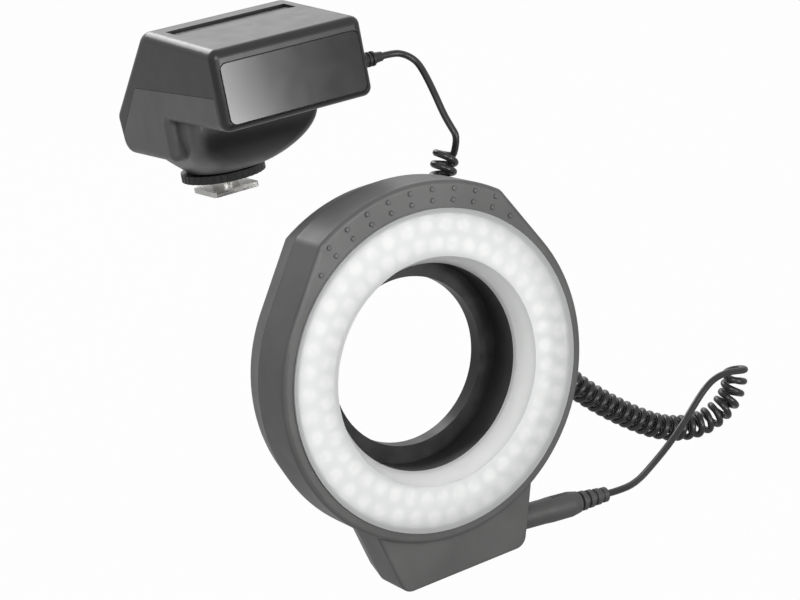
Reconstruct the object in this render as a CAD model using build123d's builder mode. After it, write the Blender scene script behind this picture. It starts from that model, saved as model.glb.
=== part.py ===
from build123d import *
from bisect import bisect
from math import acos, atan2, ceil, cos, log, pi, radians, sin, sqrt, tan
import os

os.makedirs("parts", exist_ok=True)

# Macro ring flash: a ring of lamps on a lens adapter, a control box on a hot shoe foot, and a curly cord.
# Millimetres, +Z up, front -Y. The origin is on the optical axis, where the adapter seats on the lens.

# General fits
overrun = 1.0
running_gap = 0.06
slip_gap = 0.25
seam_gap = 0.15
shell_wall = 2.0

# Lamp ring, depths counted back from the front of the diffuser
face_to_lens = 22.0
rim_set_back = 0.8
base_set_back = 3.0
seam_depth = 17.3
housing_depth = 29.0
rear_taper = 15.0
rear_round = 1.4
rim_radius = 57.7
rim_width = 3.7
rim_round = 1.5
crown_rise = 5.4
crown_half_angle = 33.4
crown_corner = 5.0
base_top_half = 31.0
base_bottom_half = 24.5
base_reach = 13.8
base_height = 22.0
base_corner = 4.6
base_round = 1.0

# Diffuser and throat
diffuser_thickness = 1.6
lip_radius = 38.3
throat_radius = 34.9
throat_depth = 8.4
throat_wall = 1.5
ledge_width = 1.8

# Lamps and their board
board_depth = 9.4
board_thickness = 1.6
board_gap = 0.3
board_rest = 1.2
lamp_edge_gap = 0.7
lamp_row_pitch = 6.5
lamp_pitch = 6.2
lamp_row_steps = (0.0, 0.5)
lamp_radius = 2.3
lamp_height = 5.0
lamp_flange = 0.3
lamp_flange_height = 1.0
lamp_dome_round = 1.84

# Raised dots on the crown
dot_pitch = 8.0
dot_row_insets = (2.8, 6.5)
dots_per_row = (9, 11)
dot_radius = 0.85
dot_height = 0.55
dot_round = 0.4

# Lens adapter and its snap ring
thread_radius = 31.0
thread_length = 3.0
adapter_bore = 28.8
flange_radius = 38.64
flange_thickness = 2.5
flange_edge = 0.5
seat_width = 4.5
snap_shelf = 1.1
skirt_wall = 2.3
sleeve_step = 1.6
snap_thickness = 0.8
snap_width = 1.8
snap_opening = 14.0
snap_set_back = 0.2
snap_groove_depth = 0.8

# Screws of the ring
ring_screw_inset = 1.1
ring_screw_angle = 31.0
ring_screw_base_x = 21.5
ring_screw_base_rise = 16.5
post_radius = 2.3
screw_radius = 1.1
screw_hole_gap = 0.08
screw_head_radius = 1.9
screw_head_height = 1.2
screw_bite = 6.0
screw_cross_width = 0.7
screw_cross_depth = 0.6
screw_cross_length = 2.4

# Supply jack and plug
jack_depth = 10.0
jack_rise = 7.5
jack_droop = 6.0
jack_length = 13.0
jack_width = 9.0
jack_height = 8.4
jack_bore = 2.81
jack_pin_radius = 0.95
jack_wall_gap = 1.2
jack_window = 3.6
plug_stand_off = 1.0
barrel_radius = 2.75
barrel_bore = 1.05
barrel_length = 9.0
plug_shares = ((0.0, 0.93), (0.03, 0.96), (0.40, 0.96), (0.52, 1.0), (0.86, 0.99), (1.0, 0.84))
plug_radius = 4.55
plug_length = 25.0
boot_length = 12.5
boot_rib_round = 0.3
boot_ribs = 4
boot_root = 2.3
boot_start_radius = 3.5
boot_end_radius = 2.7
boot_rib_share = 0.62
grip_slots = 6
grip_share = 0.55
grip_slot_width = 0.5
grip_slot_pitch = 1.15
grip_slot_depth = 0.3
grip_slot_length = 3.0

# Driver board in the base
driver_width = 34.0
driver_height = 12.0
driver_thickness = 1.6
driver_depth = 20.0
driver_rise = 11.5
driver_rib = 3.0
choke_radius = 4.0
choke_height = 4.5
driver_chip = 6.0
driver_chip_x = 4.25
driver_chip_height = 1.5

# Control box, side profile
box_half_width = 29.5
box_front = 41.6
front_lean = 1.5
head_bottom = 81.0
head_height = 28.1
slope_run = 35.1
top_rise = 4.1
back_reach = 90.6
back_rise = 0.4
block_inset = 2.2
block_length = 42.0
block_drop = 15.2
top_edge_round = 3.4
front_edge_round = 3.3
notch_round = 1.4
back_top_round = 9.0
back_low_round = 6.0
back_mid_round = 4.5
side_round = 3.2

# Seam of the control box shells
bezel_depth = 4.6
seam_front_height = 12.4
seam_back_rise = 11.5
seam_back_run = 21.9
seam_low_run = 1.7
seam_low_drop = 9.0

# Shoe pillar as drop, step in from the side, reach before and behind the shoe, and corner
pillar_sections = (
    (0.0, 3.8, 36.5, 12.0, 4.0),
    (12.0, 4.8, 35.0, 12.5, 7.0),
    (18.0, 8.6, 31.0, 13.0, 11.0),
    (22.8, 13.6, 23.5, 13.4, 12.5),
    (25.4, 16.2, 13.4, 13.4, 13.0),
)
pillar_wall = 2.2

# Shoe foot, lock wheel and clamp washer
shoe_inset = 20.2
wheel_radius = 15.8
wheel_thickness = 3.0
wheel_gap = 0.3
wheel_recess_radius = 11.0
wheel_recess_depth = 1.6
wheel_knurls = 36
knurl_radius = 0.6
stem_radius = 5.0
stem_seat = 3.0
washer_radius = 10.6
washer_thickness = 2.4
washer_stand = 0.9
washer_travel = 1.0
shoe_slot = 2.1
foot_width = 18.6
foot_length = 18.0
foot_thickness = 2.0
foot_chamfer = 0.8
pin_radius = 1.5
pin_stand = 0.7
pin_round = 0.5
pin_flange_radius = 2.2
pin_flange_thickness = 0.7
pin_bore_depth = 5.0

# Front window of the control box
window_side = 2.2
window_top = 4.4
window_bottom = 2.2
window_corner = 2.6
window_thickness = 1.2
window_edge = 0.3

# Back control panel, distances across and down the sloping back
panel_wall = 2.0
slider_x = -15.0
slider_y = 4.0
slider_travel = 4.5
slider_stem_length = 5.0
slider_stem_width = 2.6
slider_flange_length = 10.0
slider_flange_width = 6.0
slider_flange_thickness = 1.0
slider_cap_length = 7.0
slider_cap_width = 4.4
slider_cap_height = 1.5
slider_ridge = 0.8
slider_ridges = 3
button_radius = 3.4
button_flange_radius = 4.3
button_flange_thickness = 0.8
button_stand = 0.9
button_round = 0.5
button_gap = 0.2
minus_x = 2.5
plus_x = 14.5
button_y = 4.0
mode_x = 8.5
mode_y = -8.0
mark_depth = 0.3
mark_length = 2.8
mark_width = 0.6
lamp_pipe_radius = 1.0
lamp_pipe_stand = 0.2
lamp_pipe_places = ((-18.5, -8.0), (-14.0, -8.0), (-9.5, -8.0), (-5.0, -8.0))
control_board_depth = 5.6
control_board_side = 6.5
control_board_height = 25.0
control_board_thickness = 1.2
board_post = 1.3
board_post_inset = 2.0
switch_size = 6.0
switch_height = 2.0
power_switch_length = 12.0
power_switch_width = 5.0
power_switch_height = 2.3

# Cells, tray and door
cell_radius = 7.1
cell_room = 4.9
cell_round = 0.6
cell_button_radius = 2.75
cell_button_height = 1.0
cell_pitch = 14.7
cell_low_reach = 9.5
cell_low_rise = 9.8
cell_row_rise = 15.1
cell_row_step = 12.0
tray_gap = 0.1
tray_nose = 0.9
tray_thickness = 2.0
tray_left_inset = 10.0
tray_right_inset = 14.5
tray_slope_reach = 10.7
tray_top = 2.0
tray_end_inset = 6.0
tray_end_drop = 3.7
tray_bar = 2.6
tray_low_bar = 1.7
contact_thickness = 0.4
contact_width = 7.0
contact_reach = 5.0
contact_flat = 2.5
contact_spring = 1.7
door_thickness = 2.0
door_gap = 0.3
door_front_reach = 9.7
door_step_inset = 2.3
door_end_inset = 9.8
door_slope_inset = 16.0
door_height = 28.4
door_back_height = 13.0
door_hinge_drop = 11.4
door_pin_radius = 0.6
door_pin_length = 1.4
door_grip_width = 12.0
door_grip_depth = 0.6
door_grip_height = 1.0
door_grips = 3
door_grip_pitch = 2.2

# Main board in the head
main_board_side = 10.5
main_board_room = 13.8
main_board_thickness = 1.6
main_board_rise = 4.0
main_board_back = 8.6
main_board_post_inset = 3.0
capacitor_radius = 5.0
capacitor_height = 12.0
chip_size = 8.0
chip_x = 7.6
chip_height = 1.6

# Screws of the control box
box_screw_side = 5.5
box_screw_front = 16.5
box_screw_back_side = 4.9
box_screw_back_inset = 6.4
box_post_radius = 2.6
box_post_sink = 4.0
box_back_post_rise = 4.0
box_back_post_length = 8.0

# Groove across the top
groove_back_gap = 9.9
groove_width = 9.0
groove_side = 5.5
groove_depth = 0.8
groove_rise_share = 0.75

# Cord gland on the right side
gland_back = 8.4
gland_rise = 11.0
gland_collar_radius = 3.6
gland_collar_length = 2.0
gland_round = 0.6
gland_flange = 1.5
gland_neck_radius = 2.5
gland_length = 9.5
gland_end_radius = 1.7
gland_ribs = 2
gland_rib_pitch = 1.6
gland_rib_width = 0.8
gland_rib_stand = 0.2

# Cord
cord_radius = 1.25
curl_radius = 3.75
closed_pitch = 3.7
open_pitch = 4.3
open_stretch = 55.0
first_curl_side = (0.82, 0.2, -0.57)
last_curl_side = (0.0, -1.0, 0.0)
curl_probe = 0.01
gap_steps = 8
gap_reach = 6
curve_steps = 24
tube_end = 2.5
plug_run = 8.0
bend_share = 0.45

# Free stretch from the gland to the curls
upper_route = [
    (39.0, 50.0, 92.0),
    (44.34, 50.0, 92.0),
    (47.56, 49.18, 90.95),
    (50.02, 47.67, 89.01),
    (51.35, 45.69, 86.48),
    (51.5, 41.9, 81.4),
    (51.5, 38.2, 75.4),
    (51.6, 35.2, 69.5),
    (52.2, 32.3, 64.6),
    (52.9, 30.6, 61.4),
]

# Line that the curls wind around
curl_route = [
    (49.0, 32.4, 56.6),
    (44.8, 31.6, 50.6),
    (43.6, 31.0, 36.0),
    (49.0, 30.0, 20.0),
    (57.0, 28.5, 4.0),
    (66.0, 27.0, -14.0),
    (75.5, 25.0, -31.5),
    (87.0, 23.5, -44.5),
    (101.0, 21.0, -56.6),
    (115.0, 18.0, -66.2),
    (129.5, 15.5, -69.7),
    (141.5, 13.0, -65.6),
    (147.3, 11.5, -57.0),
    (147.6, 11.0, -50.6),
]

# Free stretch from the curls back to the plug, which ends square on the boot
lower_route = [
    (140.3, 6.6, -49.1),
    (133.6, 6.6, -49.6),
    (127.7, 6.3, -52.5),
    (121.7, 5.6, -56.8),
    (114.4, 4.4, -61.8),
    (104.3, 1.6, -66.3),
    (92.5, -3.2, -68.8),
    (82.0, -8.6, -69.6),
]

# Places worked out from the sizes above
y_face = -face_to_lens
y_rim = y_face + rim_set_back
y_base = y_face + base_set_back
y_seam = y_face + seam_depth
y_rear = y_face + housing_depth
y_board = y_face + board_depth
y_throat = y_face + throat_depth
y_driver = y_face + driver_depth
crown_radius = rim_radius + crown_rise
diffuser_radius = rim_radius - rim_width
base_drop = rim_radius + base_reach
base_top_drop = base_drop - base_height
jack_drop = base_drop - jack_rise
driver_drop = base_drop - driver_rise
ring_screw_radius = rim_radius - ring_screw_inset
ring_screw_base_drop = base_drop - ring_screw_base_rise
ledge_radius = diffuser_radius - ledge_width
sleeve_radius = throat_radius + throat_wall
lamp_reach = lamp_radius + lamp_flange
outer_row_radius = ledge_radius - lamp_reach - lamp_edge_gap
lamp_row_radii = [
    radius
    for radius in (outer_row_radius, outer_row_radius - lamp_row_pitch)
    if radius > sleeve_radius + lamp_reach
]
lamps_per_row = int(2 * pi * lamp_row_radii[-1] / lamp_pitch)
dot_row_radii = [crown_radius - inset for inset in dot_row_insets]
skirt_bore = flange_radius + running_gap
flange_front = -flange_thickness
seat_radius = thread_radius + seat_width
snap_front = snap_set_back - snap_shelf

box_top = head_bottom + head_height
block_bottom = head_bottom - block_drop
block_back = box_front + back_reach - block_inset
block_front = block_back - block_length
back_top = Vector(0, box_front + back_reach - slope_run, box_top + top_rise)
back_mid = Vector(0, box_front + back_reach, head_bottom - back_rise)
slope = (back_mid - back_top).normalized()
panel_out = Vector(0, -slope.Z, slope.Y)
panel_centre = (back_top + back_mid) * 0.5
shoe_y = box_front + back_reach - shoe_inset
pillar_bottom = head_bottom - pillar_sections[-1][0]
wheel_top = pillar_bottom - wheel_gap
wheel_bottom = wheel_top - wheel_thickness
washer_bottom = wheel_bottom - washer_stand
foot_top = washer_bottom - washer_travel - shoe_slot


def facing(y):
    """Plane across the optical axis at this y, drawn as seen from the front."""
    return Plane(origin=(0, y, 0), x_dir=(1, 0, 0), z_dir=(0, -1, 0))


def facing_back(y):
    """Plane across the optical axis at this y, with its normal to the back."""
    return Plane(origin=(0, y, 0), x_dir=(-1, 0, 0), z_dir=(0, 1, 0))


def panel_plane(depth):
    """Plane along the sloping back, this far under its surface, y running down the slope."""
    return Plane(origin=panel_centre - panel_out * depth, x_dir=(1, 0, 0), z_dir=panel_out)


def keep(part, name):
    """Label a finished sub-part and write its file."""
    part.part.label = name
    export_step(part.part, f"parts/{name}.step")


def crown_face(inset=0):
    """Round front of the ring with its raised crown between two corners, drawn this far inside its edge."""
    corner_x = crown_radius * sin(radians(crown_half_angle))
    corner_z = crown_radius * cos(radians(crown_half_angle))
    touch = radians(crown_half_angle) + acos(rim_radius / crown_radius)
    touch_x = rim_radius * sin(touch)
    touch_z = rim_radius * cos(touch)
    with BuildSketch() as face:
        with BuildLine():
            ThreePointArc((-corner_x, corner_z), (0, crown_radius), (corner_x, corner_z))
            Polyline(
                (corner_x, corner_z),
                (touch_x, touch_z),
                (0, 0),
                (-touch_x, touch_z),
                (-corner_x, corner_z),
            )
        make_face()
        fillet(vertices().group_by(Axis.Y)[-1], radius=crown_corner)
        Circle(rim_radius)
        if inset:
            offset(amount=-inset)
    return face.sketch


def housing_face(inset=0):
    """Whole outline of the ring with its tapered base, drawn this far inside its edge."""
    run = (base_top_half - base_bottom_half) / (base_drop - base_top_drop)
    start_drop = base_top_drop - base_corner - base_corner
    start_half = base_top_half + run * (base_top_drop - start_drop)
    with BuildSketch() as face:
        with BuildLine():
            Polyline(
                (-start_half, -start_drop),
                (start_half, -start_drop),
                (base_bottom_half, -base_drop),
                (-base_bottom_half, -base_drop),
                close=True,
            )
        make_face()
        fillet(vertices().group_by(Axis.Y)[0], radius=base_corner)
        add(crown_face())
        if inset:
            offset(amount=-inset)
    return face.sketch


def turned(points):
    """Solid turned about the optical axis from its half section of radius and y."""
    with BuildSketch(Plane.XY) as half:
        with BuildLine():
            Polyline(*points, close=True)
        make_face()
    revolve(half.sketch, axis=Axis.Y)


crown_screw_x = ring_screw_radius * sin(radians(ring_screw_angle))
crown_screw_z = ring_screw_radius * cos(radians(ring_screw_angle))
crown_screws = [(-crown_screw_x, crown_screw_z), (crown_screw_x, crown_screw_z)]
base_screws = [(-ring_screw_base_x, -ring_screw_base_drop), (ring_screw_base_x, -ring_screw_base_drop)]
ring_screw_places = crown_screws + base_screws


# Front shell of the ring, with the rim, the crown dots, the lamp well and the screw posts
base_run = (base_top_half - base_bottom_half) / (base_drop - base_top_drop)
jack_wall = base_top_half - (jack_drop - base_top_drop) * base_run
jack_axis = Vector(cos(radians(jack_droop)), 0, -sin(radians(jack_droop)))
jack_mouth = Vector(jack_wall, y_face + jack_depth, -jack_drop)
jack_plane = Plane(origin=jack_mouth, x_dir=(0, 1, 0), z_dir=jack_axis)
y_front_seam = y_seam - seam_gap

with BuildPart() as ring_front_shell:
    with BuildSketch(facing(y_front_seam)):
        add(housing_face())
    extrude(amount=y_front_seam - y_base)
    fillet(faces().sort_by(Axis.Y)[0].edges().group_by(Axis.Z)[0], radius=base_round)
    with BuildSketch(facing(y_base)):
        add(crown_face())
    extrude(amount=y_base - y_rim)
    fillet(faces().sort_by(Axis.Y)[0].outer_wire().edges(), radius=rim_round)
    with BuildSketch(facing(y_front_seam)):
        add(housing_face(shell_wall))
    extrude(amount=y_front_seam - y_base - shell_wall, mode=Mode.SUBTRACT)
    with BuildSketch(facing(y_base + shell_wall)):
        add(crown_face(shell_wall))
    extrude(amount=y_base - y_rim, mode=Mode.SUBTRACT)
    with BuildSketch(facing(y_board)):
        Circle(ledge_radius + shell_wall)
        Circle(ledge_radius, mode=Mode.SUBTRACT)
    extrude(amount=y_board - y_rim - shell_wall)
    with BuildSketch(facing(y_front_seam)):
        with Locations(*crown_screws):
            Circle(post_radius)
    extrude(amount=y_front_seam - y_rim - shell_wall)
    with BuildSketch(facing(y_front_seam)):
        with Locations(*base_screws):
            Circle(post_radius)
    extrude(amount=y_front_seam - y_base - shell_wall)
    with BuildSketch(facing(y_front_seam)):
        with Locations(*ring_screw_places):
            Circle(screw_radius + screw_hole_gap)
    extrude(amount=screw_bite, mode=Mode.SUBTRACT)
    with BuildSketch(facing(y_board)):
        Circle(ledge_radius)
    extrude(amount=y_board - y_face + overrun, mode=Mode.SUBTRACT)
    with BuildSketch(facing(y_face + diffuser_thickness)):
        Circle(diffuser_radius + running_gap)
    extrude(amount=diffuser_thickness + overrun, mode=Mode.SUBTRACT)
    with BuildSketch(facing(y_rim)):
        for row_radius, row_count in zip(dot_row_radii, dots_per_row):
            spread = dot_pitch * (row_count - 1)
            with PolarLocations(row_radius, row_count, 90 - spread / 2, spread, endpoint=True):
                Circle(dot_radius)
    extrude(amount=dot_height)
    fillet(edges().filter_by(GeomType.CIRCLE).group_by(Axis.Y)[0], radius=dot_round)
    with BuildSketch(jack_plane.offset(-jack_wall_gap - shell_wall * 2)):
        Circle(jack_window)
    extrude(amount=shell_wall * 4, mode=Mode.SUBTRACT)
keep(ring_front_shell, "ring_front_shell")

# Back cover of the ring, narrowing to the back, with the screw wells
with BuildPart() as ring_rear_cover:
    with BuildSketch(facing_back(y_seam)):
        add(housing_face())
    extrude(amount=y_rear - y_seam, taper=rear_taper)
    fillet(faces().sort_by(Axis.Y)[-1].outer_wire().edges(), radius=rear_round)
    with BuildSketch(facing_back(y_seam)):
        add(housing_face(shell_wall))
    extrude(amount=y_rear - y_seam - shell_wall, taper=rear_taper, mode=Mode.SUBTRACT)
    with BuildSketch(facing_back(y_seam)):
        with Locations(*ring_screw_places):
            Circle(post_radius)
    extrude(amount=y_rear - y_seam - screw_head_height)
    with BuildSketch(facing_back(y_driver)):
        with Locations((-driver_width / 4, -driver_drop), (driver_width / 4, -driver_drop)):
            Rectangle(driver_rib, driver_height)
    extrude(amount=y_rear - y_driver - shell_wall / 2)
    with BuildSketch(facing_back(y_seam)):
        with Locations(*ring_screw_places):
            Circle(screw_radius + screw_hole_gap)
    extrude(amount=y_rear - y_seam, mode=Mode.SUBTRACT)
    with BuildSketch(facing_back(y_rear - screw_head_height)):
        with Locations(*ring_screw_places):
            Circle(screw_head_radius + slip_gap)
    extrude(amount=screw_head_height + overrun, mode=Mode.SUBTRACT)
    with BuildSketch(facing_back(y_seam)):
        Circle(skirt_bore)
    extrude(amount=y_rear - y_seam + overrun, mode=Mode.SUBTRACT)
keep(ring_rear_cover, "ring_rear_cover")

# Frosted diffuser, a flat ring with a funnel lip
with BuildPart() as diffuser:
    lip_run = (lip_radius - throat_radius) / throat_depth
    turned([
        (diffuser_radius, y_face),
        (lip_radius, y_face),
        (throat_radius, y_throat),
        (throat_radius + throat_wall, y_throat),
        (lip_radius + throat_wall - lip_run * diffuser_thickness, y_face + diffuser_thickness),
        (diffuser_radius, y_face + diffuser_thickness),
    ])
keep(diffuser, "diffuser")

# Black inner sleeve, with the board shelf and the adapter skirt
with BuildPart() as inner_sleeve:
    shelf = y_board + board_thickness
    turned([
        (throat_radius, y_throat),
        (sleeve_radius, y_throat),
        (sleeve_radius, shelf),
        (sleeve_radius + shell_wall, shelf),
        (sleeve_radius + shell_wall, shelf + throat_wall),
        (sleeve_radius, shelf + throat_wall),
        (sleeve_radius, flange_front - running_gap - sleeve_step),
        (skirt_bore + skirt_wall, flange_front - running_gap - sleeve_step),
        (skirt_bore + skirt_wall, y_rear - shell_wall),
        (skirt_bore, y_rear - shell_wall),
        (skirt_bore, snap_front + snap_thickness + running_gap),
        (skirt_bore + snap_groove_depth, snap_front + snap_thickness + running_gap),
        (skirt_bore + snap_groove_depth, snap_front - running_gap),
        (skirt_bore, snap_front - running_gap),
        (skirt_bore, flange_front - running_gap),
        (throat_radius, flange_front - running_gap),
    ])
keep(inner_sleeve, "inner_sleeve")

# Lamp board
with BuildPart() as lamp_board:
    with BuildSketch(facing(y_board + board_thickness)):
        Circle(ledge_radius + board_rest)
        Circle(sleeve_radius + board_gap, mode=Mode.SUBTRACT)
    extrude(amount=board_thickness)
keep(lamp_board, "lamp_board")

# Lamps, two staggered rows of domed bodies
with BuildPart() as lamps:
    for row_radius, row_shift in zip(lamp_row_radii, lamp_row_steps):
        step = 360 / lamps_per_row
        with BuildSketch(facing(y_board)):
            with PolarLocations(row_radius, lamps_per_row, row_shift * step):
                Circle(lamp_reach)
        extrude(amount=lamp_flange_height)
        with BuildSketch(facing(y_board)):
            with PolarLocations(row_radius, lamps_per_row, row_shift * step):
                Circle(lamp_radius)
        extrude(amount=lamp_height)
    fillet(edges().filter_by(GeomType.CIRCLE).group_by(Axis.Y)[0], radius=lamp_dome_round)
keep(lamps, "lamps")

# Lens adapter ring, which turns in the skirt so that the ring can be set upright
with BuildPart() as adapter_ring:
    turned([
        (adapter_bore, flange_front),
        (flange_radius - flange_edge, flange_front),
        (flange_radius, flange_front + flange_edge),
        (flange_radius, -snap_shelf),
        (seat_radius, -snap_shelf),
        (seat_radius, 0),
        (thread_radius, 0),
        (thread_radius, thread_length),
        (adapter_bore, thread_length),
    ])
keep(adapter_ring, "adapter_ring")

# Snap ring that holds the adapter in the skirt
with BuildPart() as snap_ring:
    snap_outer = skirt_bore + snap_groove_depth - running_gap
    with BuildSketch(facing_back(snap_front)):
        Circle(snap_outer)
        Circle(snap_outer - snap_width, mode=Mode.SUBTRACT)
        with BuildLine():
            reach = snap_outer + overrun
            half = reach * tan(radians(snap_opening))
            Polyline((0, 0), (half, -reach), (-half, -reach), close=True)
        make_face(mode=Mode.SUBTRACT)
    extrude(amount=snap_thickness)
keep(snap_ring, "snap_ring")


def cross_screw(plane, length):
    """One screw with a cross recess, its head's top at the plane and its shank behind it."""
    with BuildPart() as screw:
        with BuildSketch(plane.offset(-screw_head_height)):
            Circle(screw_head_radius)
        extrude(amount=screw_head_height)
        with BuildSketch(plane.offset(-screw_head_height - length)):
            Circle(screw_radius)
        extrude(amount=length)
        with BuildSketch(plane.offset(-screw_cross_depth)):
            Rectangle(screw_cross_length, screw_cross_width)
            Rectangle(screw_cross_width, screw_cross_length)
        extrude(amount=screw_cross_depth + overrun, mode=Mode.SUBTRACT)
    return screw.part


# Four screws of the ring
ring_screw_reach = y_rear - screw_head_height - y_seam + screw_bite - slip_gap
with BuildPart() as ring_screws:
    for x, z in ring_screw_places:
        add(cross_screw(Plane(origin=(x, y_rear, z), x_dir=(-1, 0, 0), z_dir=(0, 1, 0)), ring_screw_reach))
keep(ring_screws, "ring_screws")

# Supply jack inside the right wall of the base
with BuildPart() as supply_jack:
    with BuildSketch(jack_plane.offset(-shell_wall - jack_wall_gap - jack_length)):
        Rectangle(jack_width, jack_height)
    extrude(amount=jack_length)
    with BuildSketch(jack_plane.offset(-shell_wall - jack_wall_gap - barrel_length)):
        Circle(jack_bore)
        Circle(jack_pin_radius, mode=Mode.SUBTRACT)
    extrude(amount=barrel_length + overrun, mode=Mode.SUBTRACT)
keep(supply_jack, "supply_jack")

# Driver board in the base
with BuildPart() as driver_board:
    with BuildSketch(facing(y_driver)):
        with Locations((0, -driver_drop)):
            Rectangle(driver_width, driver_height)
    extrude(amount=driver_thickness)
    with BuildSketch(facing(y_driver - driver_thickness)):
        with Locations((-driver_width / 4, -driver_drop)):
            Circle(choke_radius)
    extrude(amount=choke_height)
    with BuildSketch(facing(y_driver - driver_thickness)):
        with Locations((driver_chip_x, -driver_drop)):
            Rectangle(driver_chip, driver_chip)
    extrude(amount=driver_chip_height)
keep(driver_board, "driver_board")


def side_profile(inset=0):
    """Side of the control box as y and z, drawn this far inside its edge."""
    corners = [
        (box_front, head_bottom, front_edge_round),
        (box_front + front_lean, box_top, top_edge_round),
        (back_top.Y, back_top.Z, back_top_round),
        (back_mid.Y, back_mid.Z, back_mid_round),
        (block_back, block_bottom, back_low_round),
        (block_front, block_bottom, front_edge_round),
        (block_front, head_bottom, notch_round),
    ]
    with BuildSketch() as face:
        with BuildLine():
            Polyline(*[(y, z) for y, z, _ in corners], close=True)
        make_face()
        for y, z, corner in corners:
            fillet(vertices().sort_by_distance((y, z, 0))[0], radius=corner)
        if inset:
            offset(amount=-inset)
    return face.sketch


def across(half, outline):
    """Solid with this side outline, as far as this half width to both sides."""
    with BuildPart() as block:
        with BuildSketch(Plane.YZ.offset(-half)):
            add(outline)
        extrude(amount=half + half)
    return block.part


def outline_of(*points):
    """Side outline of straight lines through these y and z."""
    with BuildSketch() as face:
        with BuildLine():
            Polyline(*points, close=True)
        make_face()
    return face.sketch


def bezel_line(z, extra=0):
    """Point of the bezel's back plane at this height, this much further back."""
    return (box_front + bezel_depth + extra + front_lean * (z - head_bottom) / head_height, z)


# Regions that divide the control box
far_up = box_top + box_half_width
far_down = pillar_bottom - box_half_width
far_front = box_front - box_half_width
far_back = back_mid.Y + box_half_width
seam_front_z = head_bottom + seam_front_height
seam_back = (back_mid.Y - seam_back_run, back_mid.Z + seam_back_rise)
seam_low = (back_mid.Y - seam_low_run, back_mid.Z - seam_low_drop)


def bezel_region():
    """Everything in front of the bezel's back plane."""
    return outline_of((far_front, far_down), bezel_line(far_down), bezel_line(far_up), (far_front, far_up))


def upper_region(drop=0):
    """Everything above the seam, lowered by this much."""
    return outline_of(
        (far_front, seam_front_z - drop),
        (seam_back[0], seam_back[1] - drop),
        (seam_low[0] - drop, seam_low[1] - drop),
        (far_back, seam_low[1] - drop),
        (far_back, far_up),
        (far_front, far_up),
    )


def door_outline(bottom):
    """Battery door as y and z, down to this height."""
    step_y = block_front + door_step_inset
    front_y = block_front - door_front_reach
    step_z = head_bottom + shell_wall
    return outline_of(
        (step_y, bottom),
        (door_back_y, bottom),
        (door_back_y, door_hinge_z + door_back_height),
        (block_front + door_slope_inset, door_hinge_z + door_height),
        (front_y, door_hinge_z + door_height),
        (front_y, step_z),
        (step_y, step_z),
    )


# Hollow control box before it is divided
with BuildPart() as box:
    add(across(box_half_width, side_profile()))
    fillet(faces().sort_by(Axis.X)[0].edges() + faces().sort_by(Axis.X)[-1].edges(), radius=side_round)
    add(across(box_half_width - shell_wall, side_profile(shell_wall)), mode=Mode.SUBTRACT)

door_hinge_z = head_bottom - door_hinge_drop
door_back_y = block_back - door_end_inset
door_barrel_length = door_back_y - block_front - door_step_inset
door_hinge_x = box_half_width - door_thickness / 2
door_barrel = door_thickness / 2
gland_plane = Plane(
    origin=(box_half_width, box_front + gland_back, head_bottom + gland_rise),
    x_dir=(0, 1, 0),
    z_dir=(1, 0, 0),
)
box_screw_x = box_half_width - box_screw_side
box_screw_back_x = box_half_width - box_screw_back_side
box_screws = [
    (-box_screw_x, box_front + box_screw_front),
    (box_screw_x, box_front + box_screw_front),
    (-box_screw_back_x, block_back - box_screw_back_inset),
    (box_screw_back_x, block_back - box_screw_back_inset),
]
control_board_width = (box_half_width - control_board_side) * 2
control_post_x = control_board_width - board_post_inset * 2
control_post_y = control_board_height - board_post_inset * 2
main_board_width = (box_half_width - main_board_side) * 2
main_board_length = block_front - main_board_room - box_front - main_board_back
main_board_y = box_front + main_board_back + main_board_length / 2
main_post_x = main_board_width - main_board_post_inset * 2
main_post_y = main_board_length - main_board_post_inset * 2

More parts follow.
